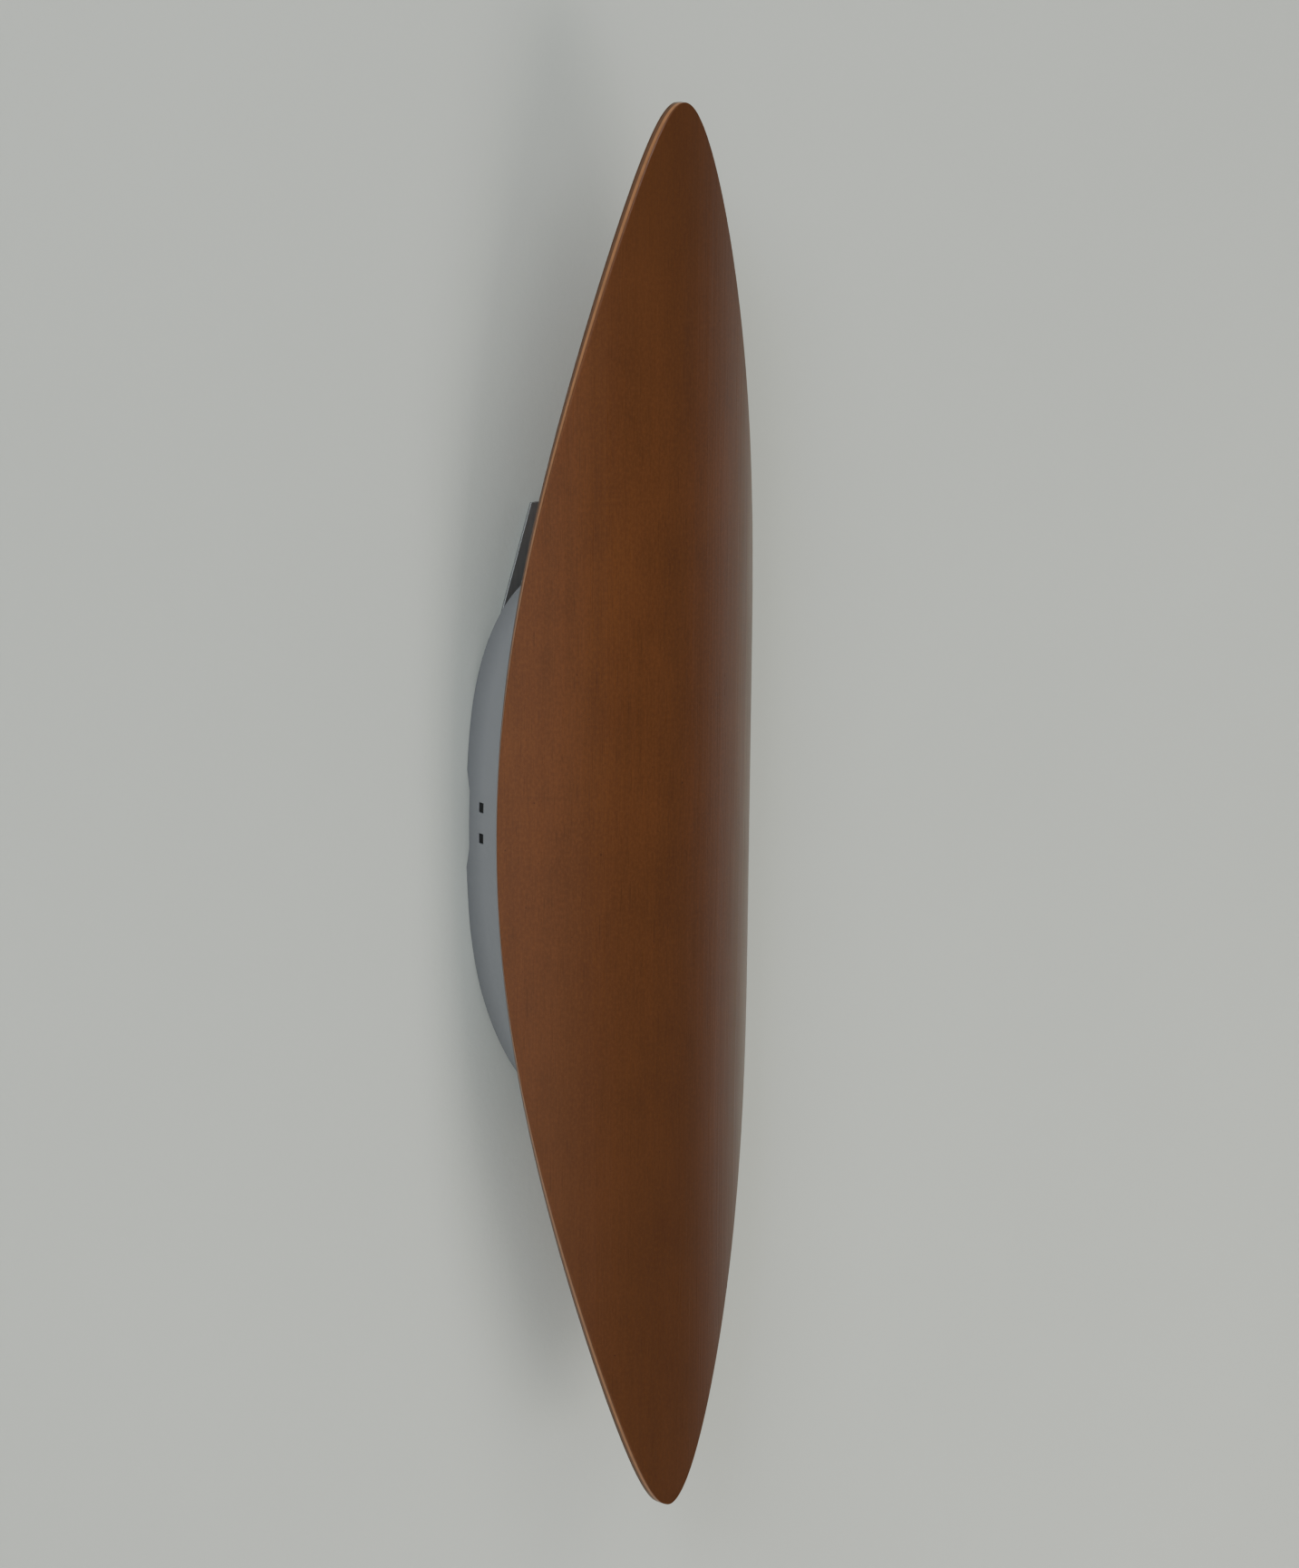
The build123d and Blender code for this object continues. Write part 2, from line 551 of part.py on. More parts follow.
with BuildPart() as wiring_cover:
    add(block(-COVER_X, COVER_X, COVER_Y, -PAN_T, COVER_Z0, COVER_Z1))
    fillet(wiring_cover.edges().filter_by(Axis.X).group_by(Axis.Y)[0], 2.0)
    add(block(-COVER_X + COVER_T, COVER_X - COVER_T, COVER_Y + COVER_T, 1, COVER_Z0 + COVER_T, COVER_Z1 - COVER_T), mode=Mode.SUBTRACT)
    # notches that let the lamp leads out
    for zc in (COVER_Z0, COVER_Z1):
        add(block(-10.5, 10.5, T_Y - 2.2, 0, zc - 3, zc + 3), mode=Mode.SUBTRACT)
    # snap barbs
    for sz in SLOT_Z:
        add(block(-CHEEK_X + 0.35, -COVER_X + 0.2, SLOT_Y - SLOT_W / 2 + 0.25, SLOT_Y + SLOT_W / 2 - 0.25, sz - SLOT_H / 2 + 0.25, sz + SLOT_H / 2 - 0.25))
        add(block(COVER_X - 0.2, CHEEK_X - 0.35, SLOT_Y - SLOT_W / 2 + 0.25, SLOT_Y + SLOT_W / 2 - 0.25, sz - SLOT_H / 2 + 0.25, sz + SLOT_H / 2 - 0.25))
wiring_cover.part.label = "wiring_cover"
export_step(wiring_cover.part, "parts/wiring_cover.step")

# ---------------------------------------------------------------- cable grommet, earth
with BuildPart() as cable_grommet:
    add(rod_y(GROMMET_X, GROMMET_Z, GROMMET_HOLE_R, -4.0, 0.0))
    add(rod_y(GROMMET_X, GROMMET_Z, GROMMET_HOLE_R + 2.2, -4.0, -PAN_T))
    add(rod_y(GROMMET_X, GROMMET_Z, GROMMET_BORE_R, -5, 1), mode=Mode.SUBTRACT)
cable_grommet.part.label = "cable_grommet"
export_step(cable_grommet.part, "parts/cable_grommet.step")

EARTH_X, EARTH_Z = 30.0, 4.5

with BuildPart() as earth_tag:
    add(rod_y(EARTH_X, EARTH_Z, 4.2, -PAN_T - 1.0, -PAN_T))
    add(block(EARTH_X - 9.0, EARTH_X, -PAN_T - 1.0, -PAN_T, EARTH_Z - 1.8, EARTH_Z + 1.8))
    add(rod_y(EARTH_X, EARTH_Z, 2.0, -5, 1), mode=Mode.SUBTRACT)
earth_tag.part.label = "earth_tag"
export_step(earth_tag.part, "parts/earth_tag.step")

with BuildPart() as earth_screw:
    add(rod_y(EARTH_X, EARTH_Z, 3.6, -PAN_T - 3.4, -PAN_T - 1.0))
    add(rod_y(EARTH_X, EARTH_Z, 1.95, -PAN_T - 1.2, -PAN_T))
    add(block(EARTH_X - 2.4, EARTH_X + 2.4, -6, -PAN_T - 2.6, EARTH_Z - 0.4, EARTH_Z + 0.4), mode=Mode.SUBTRACT)
earth_screw.part.label = "earth_screw"
export_step(earth_screw.part, "parts/earth_screw.step")


# ---------------------------------------------------------------- internal wires
WIRE_R = 1.0


def wire_solid(points, bend, r=WIRE_R):
    """Round wire of straight legs and rounded corners."""
    with BuildPart(mode=Mode.PRIVATE) as p:
        with BuildLine() as path:
            FilletPolyline(*points, radius=bend)
        with BuildSketch(Plane(points[0], z_dir=path.line % 0)):
            Circle(r)
        sweep()
    return p.part


def lead(px, hx):
    """Lead from a terminal pole to the underside of the upper lampholder."""
    return [
        (px, T_Y, T_Z1 - 3.0),
        (px, T_Y, T_Z1 + 1.6),
        ((px + hx) / 2, T_Y + 0.8, 21.5),
        (hx, T_Y - 5.5, 29.5),
        (hx, HOLDER_Y, 36.5),
        (hx, HOLDER_Y, H0 + 2.2),
    ]


with BuildPart() as wire_live_upper:
    add(wire_solid(lead(-10.0, -LEAD_X), 3.0))
wire_live_upper.part.label = "wire_live_upper"
export_step(wire_live_upper.part, "parts/wire_live_upper.step")

with BuildPart() as wire_neutral_upper:
    add(mirror(wire_live_upper.part, about=Plane.YZ, mode=Mode.PRIVATE))
wire_neutral_upper.part.label = "wire_neutral_upper"
export_step(wire_neutral_upper.part, "parts/wire_neutral_upper.step")


def lead_down(px, hx):
    """Lead from a terminal pole to the lower lampholder."""
    return [
        (px, T_Y, T_Z0 + 3.0),
        (px, T_Y, T_Z0 - 1.4),
        ((px + hx) / 2, T_Y + 0.6, -12.5),
        (hx, T_Y - 4.5, -26.0),
        (hx, HOLDER_Y, -36.5),
        (hx, HOLDER_Y, -H0 - 2.2),
    ]


with BuildPart() as wire_live_lower:
    add(wire_solid(lead_down(-10.0, -LEAD_X), 3.0))
wire_live_lower.part.label = "wire_live_lower"
export_step(wire_live_lower.part, "parts/wire_live_lower.step")

with BuildPart() as wire_neutral_lower:
    add(mirror(wire_live_lower.part, about=Plane.YZ, mode=Mode.PRIVATE))
wire_neutral_lower.part.label = "wire_neutral_lower"
export_step(wire_neutral_lower.part, "parts/wire_neutral_lower.step")

with BuildPart() as wire_earth:
    add(wire_solid([
        (0.0, T_Y, T_Z1 - 3.0),
        (0.0, T_Y, T_Z1 + 1.6),
        (4.5, T_Y - 4.2, T_Z1 + 2.2),
        (16.5, T_Y - 4.2, T_Z1 + 2.0),
        (20.4, -7.0, 8.0),
        (22.2, -3.55, EARTH_Z),
        (25.2, -3.55, EARTH_Z),
    ], 2.0))
wire_earth.part.label = "wire_earth"
export_step(wire_earth.part, "parts/wire_earth.step")
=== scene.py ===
"""Wooden wall lamp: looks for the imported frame. Metres, row frame: wall at y = 0, the lamp faces -Y, +Z up."""
import json
import math

import bmesh
import bpy
from mathutils import Matrix, Vector


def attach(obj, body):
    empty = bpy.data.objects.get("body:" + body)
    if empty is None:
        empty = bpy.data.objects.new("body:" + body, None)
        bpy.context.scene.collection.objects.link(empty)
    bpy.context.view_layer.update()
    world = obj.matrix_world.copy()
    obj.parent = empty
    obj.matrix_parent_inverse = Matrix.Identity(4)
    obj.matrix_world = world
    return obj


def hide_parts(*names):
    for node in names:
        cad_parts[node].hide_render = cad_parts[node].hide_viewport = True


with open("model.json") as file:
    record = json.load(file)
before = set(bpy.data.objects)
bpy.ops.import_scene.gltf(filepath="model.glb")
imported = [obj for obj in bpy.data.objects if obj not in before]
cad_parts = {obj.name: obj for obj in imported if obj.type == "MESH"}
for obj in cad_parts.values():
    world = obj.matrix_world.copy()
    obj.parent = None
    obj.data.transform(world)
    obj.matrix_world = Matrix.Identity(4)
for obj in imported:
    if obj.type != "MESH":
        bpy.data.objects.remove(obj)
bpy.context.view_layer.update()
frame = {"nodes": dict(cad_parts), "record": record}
NODES = frame["nodes"]
MM = 0.001


# ---------------------------------------------------------------- node helpers
class Tree:
    """Small wrapper that adds and links shader nodes."""

    def __init__(self, name):
        self.mat = bpy.data.materials.new(name)
        self.mat.use_nodes = True
        self.nt = self.mat.node_tree
        self.bsdf = self.nt.nodes["Principled BSDF"]
        self.out = self.nt.nodes["Material Output"]
        self.x = -300

    def add(self, kind, **settings):
        n = self.nt.nodes.new(kind)
        self.x -= 40
        n.location = (self.x, 0)
        for k, v in settings.items():
            setattr(n, k, v)
        return n

    def link(self, a, b):
        self.nt.links.new(a, b)

    def coords(self):
        return self.add("ShaderNodeTexCoord").outputs["Object"]

    def mapped(self, source, scale, location=(0, 0, 0), rotation=(0, 0, 0)):
        n = self.add("ShaderNodeMapping")
        n.inputs["Scale"].default_value = scale
        n.inputs["Location"].default_value = location
        n.inputs["Rotation"].default_value = rotation
        self.link(source, n.inputs["Vector"])
        return n.outputs["Vector"]

    def noise(self, vector, scale=1.0, detail=4.0, rough=0.55, distortion=0.0):
        n = self.add("ShaderNodeTexNoise")
        n.inputs["Scale"].default_value = scale
        n.inputs["Detail"].default_value = detail
        n.inputs["Roughness"].default_value = rough
        n.inputs["Distortion"].default_value = distortion
        self.link(vector, n.inputs["Vector"])
        return n.outputs["Fac"]

    def ramp(self, fac, stops, mode="LINEAR"):
        n = self.add("ShaderNodeValToRGB")
        n.color_ramp.interpolation = mode
        els = n.color_ramp.elements
        while len(els) > 1:
            els.remove(els[-1])
        els[0].position, els[0].color = stops[0][0], tuple(stops[0][1]) + (1.0,)
        for p, c in stops[1:]:
            e = els.new(p)
            e.color = tuple(c) + (1.0,)
        self.link(fac, n.inputs["Fac"])
        return n.outputs["Color"]

    def span(self, fac, lo, hi, from_lo=0.0, from_hi=1.0):
        n = self.add("ShaderNodeMapRange")
        n.inputs["From Min"].default_value = from_lo
        n.inputs["From Max"].default_value = from_hi
        n.inputs["To Min"].default_value = lo
        n.inputs["To Max"].default_value = hi
        self.link(fac, n.inputs["Value"])
        return n.outputs["Result"]

    def math(self, op, a, b=None):
        n = self.add("ShaderNodeMath", operation=op)
        for i, v in enumerate((a, b)):
            if v is None:
                continue
            if isinstance(v, (int, float)):
                n.inputs[i].default_value = v
            else:
                self.link(v, n.inputs[i])
        return n.outputs[0]

    def mix(self, fac, a, b, blend="MIX"):
        n = self.add("ShaderNodeMix", data_type="RGBA", blend_type=blend)
        for sock, v in ((n.inputs[0], fac), (n.inputs[6], a), (n.inputs[7], b)):
            if isinstance(v, (int, float)):
                sock.default_value = v
            elif isinstance(v, (tuple, list)):
                sock.default_value = tuple(v) + (1.0,)
            else:
                self.link(v, sock)
        return n.outputs[2]

    def bump(self, height, strength, distance, normal=None):
        n = self.add("ShaderNodeBump")
        n.inputs["Strength"].default_value = strength
        n.inputs["Distance"].default_value = distance
        self.link(height, n.inputs["Height"])
        if normal is not None:
            self.link(normal, n.inputs["Normal"])
        return n.outputs["Normal"]

    def set(self, **values):
        for k, v in values.items():
            name = k.replace("_", " ")
            sock = next(s for s in self.bsdf.inputs if s.name.lower() == name.lower())
            if hasattr(v, "is_linked"):
                self.link(v, sock)
            elif isinstance(v, (tuple, list)) and len(v) == 3 and sock.type == "RGBA":
                sock.default_value = tuple(v) + (1.0,)
            else:
                sock.default_value = v
        return self


def srgb(r, g, b):
    """0-255 screen values to linear."""
    def f(c):
        c /= 255.0
        return c / 12.92 if c <= 0.04045 else ((c + 0.055) / 1.055) ** 2.4
    return (f(r), f(g), f(b))


# ---------------------------------------------------------------- materials
def wood_material():
    """Stained, satin-lacquered moulded plywood. The mesh carries leaf = (distance round the bend, depth from the front, height)."""
    t = Tree("wood_leaf")
    attr = t.add("ShaderNodeAttribute", attribute_name="leaf")
    vec = attr.outputs["Vector"]
    sep = t.add("ShaderNodeSeparateXYZ")
    t.link(vec, sep.inputs[0])
    depth = sep.outputs["Y"]

    # the grain wanders a little, so its coordinate is bent by a slow noise
    slow = t.noise(t.mapped(vec, (9.0, 0.0, 4.0)), detail=2.0)
    bend = t.math("MULTIPLY", t.math("SUBTRACT", slow, 0.5), 0.006)
    comb = t.add("ShaderNodeCombineXYZ")
    t.link(t.math("ADD", sep.outputs["X"], bend), comb.inputs["X"])
    t.link(sep.outputs["Z"], comb.inputs["Z"])
    g = comb.outputs["Vector"]

    broad = t.noise(t.mapped(g, (24.0, 0.0, 5.0)), detail=3.0)
    streak = t.noise(t.mapped(g, (230.0, 0.0, 2.6)), detail=5.0, rough=0.6)
    fine = t.noise(t.mapped(g, (1000.0, 0.0, 14.0)), detail=4.0, rough=0.65)
    pores = t.noise(t.mapped(g, (2100.0, 0.0, 70.0)), detail=2.0, rough=0.5)
    speck = t.noise(t.mapped(vec, (620.0, 0.0, 620.0)), detail=2.0, rough=0.5)
    mottle = t.noise(t.mapped(vec, (900.0, 0.0, 620.0)), detail=3.0, rough=0.6)

    blotch = t.noise(t.mapped(vec, (95.0, 0.0, 52.0)), detail=6.0, rough=0.62)
    blush = t.noise(t.mapped(vec, (30.0, 0.0, 17.0), location=(3.0, 0.0, 5.0)), detail=4.0)

    base = t.ramp(streak, [
        (0.30, srgb(92, 53, 26)),
        (0.50, srgb(96, 55, 27)),
        (0.72, srgb(101, 58, 29)),
    ])
    base = t.mix(t.span(broad, 0.0, 0.45, 0.35, 0.7), base, srgb(89, 51, 25))
    base = t.mix(t.span(blotch, 0.0, 0.55, 0.45, 0.72), base, srgb(84, 47, 23))
    base = t.mix(t.span(blush, 0.0, 0.60, 0.46, 0.70), base, srgb(107, 62, 31))
    base = t.mix(t.span(fine, 0.0, 0.26, 0.45, 0.75), base, srgb(80, 44, 20))
    base = t.mix(t.span(mottle, 0.0, 0.29, 0.46, 0.66), base, srgb(78, 43, 19))
    base = t.mix(t.span(mottle, 0.29, 0.0, 0.34, 0.5), base, srgb(110, 64, 33))
    base = t.mix(t.span(pores, 0.0, 0.40, 0.60, 0.72), base, srgb(64, 35, 15))
    base = t.mix(t.span(speck, 0.0, 0.75, 0.735, 0.765), base, srgb(48, 26, 14))

    # the wood is a little darker towards the two ends and over the lower half
    ends = t.math("MAXIMUM", t.span(sep.outputs["Z"], 0.0, 0.48, 0.15, 0.25),
                  t.span(sep.outputs["Z"], 0.36, 0.0, -0.15, 0.0))
    base = t.mix(t.math("MULTIPLY", ends, t.span(blush, 0.8, 1.2, 0.3, 0.7)), base, srgb(81, 47, 24))

    # plies seen on the cut edge, by depth from the front
    ply_noise = t.noise(t.mapped(vec, (500.0, 0.0, 60.0)), detail=4.0)
    ply = t.ramp(t.span(depth, 0.0, 1.0, 0.0, 0.004), [
        (0.0, srgb(80, 45, 22)),
        (0.11, srgb(86, 50, 26)),
        (0.15, srgb(136, 92, 59)),
        (0.44, srgb(145, 99, 65)),
        (0.50, srgb(80, 54, 37)),
        (0.70, srgb(88, 60, 42)),
        (0.74, srgb(68, 46, 33)),
        (0.90, srgb(72, 49, 35)),
        (1.0, srgb(86, 49, 26)),
    ])
    ply = t.mix(t.span(ply_noise, 0.0, 0.40, 0.35, 0.75), ply, srgb(92, 62, 43))
    inside = t.math("MULTIPLY",
                    t.span(depth, 0.0, 1.0, 0.00012, 0.00030),
                    t.span(depth, 1.0, 0.0, 0.00370, 0.00388))
    color = t.mix(inside, base, ply)

    rough = t.math("ADD", t.span(fine, 0.27, 0.36, 0.3, 0.75), t.span(broad, -0.02, 0.03, 0.3, 0.7))
    height = t.math("ADD", t.math("MULTIPLY", streak, 1.6),
                    t.math("ADD", t.math("MULTIPLY", fine, 0.7), t.math("MULTIPLY", pores, -0.4)))
    t.set(base_color=color, roughness=rough, normal=t.bump(height, 0.42, 0.00016),
          specular_ior_level=0.24)
    return t.mat


def grey_paint():
    """Satin grey paint with a fine orange peel, and painted shade along the cheeks' swept edge next to the wall."""
    t = Tree("grey_coat")
    c = t.coords()
    peel = t.noise(t.mapped(c, (420.0, 420.0, 420.0)), detail=3.0, rough=0.5)
    cloud = t.noise(t.mapped(c, (14.0, 14.0, 9.0)), detail=3.0)
    dust = t.noise(t.mapped(c, (60.0, 60.0, 60.0)), detail=5.0, rough=0.7)
    col = t.mix(t.span(cloud, 0.0, 0.7, 0.35, 0.75), srgb(107, 108, 111), srgb(103, 104, 107))
    col = t.mix(t.span(dust, 0.0, 0.25, 0.55, 0.8), col, srgb(97, 98, 101))
    # painted shade: the cheeks are darkened along the swept edge next to the wall, where shade falls
    place = t.add("ShaderNodeSeparateXYZ")
    t.link(c, place.inputs[0])
    u = t.span(t.math("ABSOLUTE", place.outputs["Z"]), 0.0, 1.0, 0.031, 0.1097)
    swept = t.math("POWER", t.math("SUBTRACT", 1.0, t.math("POWER", u, 2.55)), 1.0 / 2.55)
    ahead = t.math("SUBTRACT", t.math("MULTIPLY", t.math("SUBTRACT", swept, 1.0), 0.0560), place.outputs["Y"])
    geo = t.add("ShaderNodeNewGeometry")
    faces = t.add("ShaderNodeSeparateXYZ")
    t.link(geo.outputs["True Normal"], faces.inputs[0])
    # painted shade mask, strongest at the swept edge and fading over 11 mm ahead of it, on side-facing faces only
    wall_shade = t.math("MULTIPLY", t.span(ahead, 0.95, 0.0, 0.0, 0.011),
                  t.span(t.math("ABSOLUTE", faces.outputs["X"]), 0.0, 1.0, 0.4, 0.7))
    col = t.mix(wall_shade, col, srgb(90, 91, 94))
    t.set(base_color=col, roughness=t.span(peel, 0.40, 0.50, 0.3, 0.7), normal=t.bump(peel, 0.06, 0.0002))
    return t.mat


def brushed(name, dark, light, rough=(0.28, 0.42), along="z", scale=1.0, aniso=0.0):
    """Metal sheet with fine rolling lines along one axis."""
    t = Tree(name)
    c = t.coords()
    fine_axis = {"z": (900.0, 900.0, 10.0), "x": (10.0, 900.0, 900.0), "y": (900.0, 10.0, 900.0)}[along]
    lines = t.noise(t.mapped(c, tuple(v * scale for v in fine_axis)), detail=4.0, rough=0.6)
    cloud = t.noise(t.mapped(c, (35.0, 35.0, 28.0)), detail=4.0)
    mixed = t.math("ADD", t.math("MULTIPLY", lines, 0.55), t.math("MULTIPLY", cloud, 0.45))
    col = t.ramp(mixed, [(0.32, dark), (0.68, light)])
    t.set(base_color=col, metallic=1.0, roughness=t.span(mixed, rough[0], rough[1], 0.3, 0.7),
          normal=t.bump(lines, 0.05, 0.0001))
    return t.mat


def dark_sheet():
    """Dark grey coated sheet with bare cut edges."""
    t = Tree("dark_sheet")
    c = t.coords()
    lines = t.noise(t.mapped(c, (700.0, 700.0, 9.0)), detail=4.0, rough=0.6)
    cloud = t.noise(t.mapped(c, (40.0, 40.0, 30.0)), detail=4.0)
    mixed = t.math("ADD", t.math("MULTIPLY", lines, 0.4), t.math("MULTIPLY", cloud, 0.6))
    col = t.ramp(mixed, [(0.32, srgb(128, 130, 130)), (0.68, srgb(144, 146, 146))])
    geo = t.add("ShaderNodeNewGeometry")
    sep = t.add("ShaderNodeSeparateXYZ")
    t.link(geo.outputs["True Normal"], sep.inputs[0])
    edge = t.span(t.math("ABSOLUTE", sep.outputs["Y"]), 1.0, 0.0, 0.3, 0.6)
    t.set(base_color=t.mix(edge, col, srgb(126, 127, 128)), metallic=0.7,
          roughness=t.span(mixed, 0.36, 0.48, 0.3, 0.7), normal=t.bump(lines, 0.05, 0.0001))
    return t.mat


def zinc(name, dark, light, rough=(0.30, 0.48)):
    """Zinc-plated steel: soft cloudy spangle."""
    t = Tree(name)
    c = t.coords()
    v = t.add("ShaderNodeTexVoronoi")
    v.inputs["Scale"].default_value = 1.0
    t.link(t.mapped(c, (260.0, 260.0, 260.0)), v.inputs["Vector"])
    sp = t.add("ShaderNodeSeparateColor")
    t.link(v.outputs["Color"], sp.inputs[0])
    cloud = t.noise(t.mapped(c, (120.0, 120.0, 120.0)), detail=5.0, rough=0.65)
    mixed = t.math("ADD", t.math("MULTIPLY", sp.outputs[0], 0.30), t.math("MULTIPLY", cloud, 0.70))
    t.set(base_color=t.ramp(mixed, [(0.25, dark), (0.75, light)]), metallic=1.0,
          roughness=t.span(mixed, rough[0], rough[1], 0.25, 0.75),
          normal=t.bump(cloud, 0.06, 0.0001))
    return t.mat


def moulded(name, dark, light, rough=(0.4, 0.55), grain=700.0, depth=0.12, gloss=0.5):
    """Moulded plastic or rubber with a fine spark-eroded grain."""
    t = Tree(name)
    c = t.coords()
    g = t.noise(t.mapped(c, (grain, grain, grain)), detail=3.0, rough=0.6)
    cloud = t.noise(t.mapped(c, (40.0, 40.0, 40.0)), detail=3.0)
    t.set(base_color=t.mix(t.span(cloud, 0.0, 1.0, 0.3, 0.7), dark, light),
          roughness=t.span(g, rough[0], rough[1], 0.3, 0.7), normal=t.bump(g, depth, 0.0002),
          specular_ior_level=gloss)
    return t.mat


def ceramic():
    """Off-white glazed ceramic."""
    t = Tree("ceramic_glaze")
    c = t.coords()
    cloud = t.noise(t.mapped(c, (90.0, 90.0, 90.0)), detail=4.0)
    speck = t.noise(t.mapped(c, (900.0, 900.0, 900.0)), detail=2.0)
    col = t.mix(t.span(cloud, 0.0, 1.0, 0.3, 0.7), srgb(226, 221, 207), srgb(236, 232, 222))
    col = t.mix(t.span(speck, 0.0, 0.5, 0.68, 0.78), col, srgb(170, 158, 136))
    t.set(base_color=col, roughness=t.span(cloud, 0.22, 0.34, 0.3, 0.7), normal=t.bump(cloud, 0.05, 0.0003))
    return t.mat


def frosted_glass():
    """Frosted lamp capsule."""
    t = Tree("frosted_glass")
    c = t.coords()
    frost = t.noise(t.mapped(c, (1500.0, 1500.0, 1500.0)), detail=2.0)
    cloud = t.noise(t.mapped(c, (120.0, 120.0, 60.0)), detail=3.0)
    t.set(base_color=t.mix(t.span(cloud, 0.0, 1.0, 0.3, 0.7), srgb(240, 240, 236), srgb(250, 249, 244)),
          roughness=t.span(frost, 0.30, 0.42, 0.3, 0.7), transmission_weight=0.82, ior=1.46,
          normal=t.bump(frost, 0.05, 0.0001))
    return t.mat


def phosphor():
    """Yellow phosphor chips on a pale strip."""
    t = Tree("phosphor_strip")
    c = t.coords()
    w = t.add("ShaderNodeTexWave", wave_type="BANDS", bands_direction="Z", wave_profile="SIN")
    w.inputs["Scale"].default_value = 1.0
    t.link(t.mapped(c, (60.0, 60.0, 60.0)), w.inputs["Vector"])
    cloud = t.noise(t.mapped(c, (400.0, 400.0, 400.0)), detail=3.0)
    chip = t.ramp(w.outputs["Fac"], [(0.40, srgb(238, 236, 226)), (0.55, srgb(244, 205, 70))])
    t.set(base_color=t.mix(t.span(cloud, 0.0, 0.35, 0.4, 0.8), chip, srgb(224, 176, 58)),
          roughness=t.span(cloud, 0.45, 0.6, 0.3, 0.7))
    return t.mat


def sleeve(name, dark, light, stripe=None):
    """Wire insulation, with a second colour in bands if it has one."""
    t = Tree(name)
    c = t.coords()
    cloud = t.noise(t.mapped(c, (260.0, 260.0, 260.0)), detail=3.0)
    col = t.mix(t.span(cloud, 0.0, 1.0, 0.3, 0.7), dark, light)
    if stripe:
        w = t.add("ShaderNodeTexWave", wave_type="BANDS", bands_direction="DIAGONAL")
        w.inputs["Scale"].default_value = 1.0
        t.link(t.mapped(c, (90.0, 90.0, 90.0)), w.inputs["Vector"])
        col = t.mix(t.span(w.outputs["Fac"], 0.0, 1.0, 0.45, 0.55), col, stripe)
    t.set(base_color=col, roughness=t.span(cloud, 0.30, 0.42, 0.3, 0.7))
    return t.mat


MATS = {
    "wood": wood_material(),
    "grey_paint": grey_paint(),
    "dark_metal": dark_sheet(),
    "zinc_steel": zinc("zinc_plate", srgb(150, 152, 155), srgb(196, 198, 200)),
    "screw_steel": zinc("bright_zinc", srgb(168, 168, 166), srgb(208, 208, 204), rough=(0.22, 0.36)),
    "rivet_alu": zinc("rivet_metal", srgb(176, 177, 180), srgb(214, 215, 218), rough=(0.30, 0.42)),
    "ceramic": ceramic(),
    "lamp_base": moulded("lamp_base", srgb(222, 221, 215), srgb(236, 235, 230), rough=(0.35, 0.48)),
    "lamp_glass": frosted_glass(),
    "lamp_core": phosphor(),
    "natural_nylon": moulded("nylon", srgb(216, 212, 198), srgb(232, 229, 218), rough=(0.42, 0.55)),
    "brass": brushed("brass_metal", srgb(176, 134, 62), srgb(214, 174, 96), rough=(0.24, 0.38), along="x"),
    "black_plastic": moulded("black_plastic", srgb(12, 12, 13), srgb(19, 19, 20), rough=(0.52, 0.66), gloss=0.2),
    "rubber": moulded("rubber", srgb(20, 20, 20), srgb(32, 31, 31), rough=(0.6, 0.75), grain=1000.0),
    "wire_brown": sleeve("wire_brown", srgb(92, 54, 30), srgb(108, 66, 38)),
    "wire_blue": sleeve("wire_blue", srgb(38, 84, 158), srgb(52, 102, 178)),
    "wire_green": sleeve("wire_green", srgb(52, 128, 52), srgb(66, 146, 62), stripe=srgb(226, 200, 48)),
}

# folded and cut sheet has softened edges, in millimetres
SOFT = {
    "cheek_left": 0.5, "cheek_right": 0.5, "back_plate": 0.3, "reflector_upper": 0.2, "reflector_lower": 0.2,
    "strap_upper": 0.3, "strap_lower": 0.3, "wiring_cover": 0.35, "holder_bracket_upper": 0.25,
    "holder_bracket_lower": 0.25, "terminal_block": 0.3, "lampholder_upper": 0.35, "lampholder_lower": 0.35,
}


def soften(obj, width):
    weld = obj.modifiers.new("weld", "WELD")
    weld.merge_threshold = 2e-6
    bev = obj.modifiers.new("edge", "BEVEL")
    bev.width = width * MM
    bev.segments = 3
    bev.limit_method = "ANGLE"
    bev.angle_limit = math.radians(50)
    bev.harden_normals = False
    split = obj.modifiers.new("smooth", "WEIGHTED_NORMAL")
    split.keep_sharp = True


SLOT_OF = {s["node"]: s["material_slot"] for s in frame["record"]["subparts"]}
for name, obj in NODES.items():
    if name in SOFT:
        soften(obj, SOFT[name])
    mat = MATS[SLOT_OF[name]]
    if obj.material_slots:
        for s in obj.material_slots:
            s.material = mat
    else:
        obj.data.materials.append(mat)


# ---------------------------------------------------------------- shield
HALF = 279.75 * MM
ARC = 73.63 * MM
R_OUT = 81.25 * MM
THICK = 4.0 * MM
AXIS_Y = 25.25 * MM
LEAF = (0.8637, -0.1145, 0.2257)


def leaf_half(z):
    q = max(0.0, 1.0 - (z / HALF) ** 2)
    a, b, c = LEAF
    return ARC * math.sqrt(q) * (1 + a * q + b * q * q + c * q ** 3) / (1 + a + b + c)


def edge_flare(z):
    """How far the back runs on past the front at the slanted cut edge."""
    u = min(1.0, abs(z) / HALF)
    return (1.25 + 1.5 * u * math.sqrt(1.0 - u * u) - 0.25 * u * u) * MM


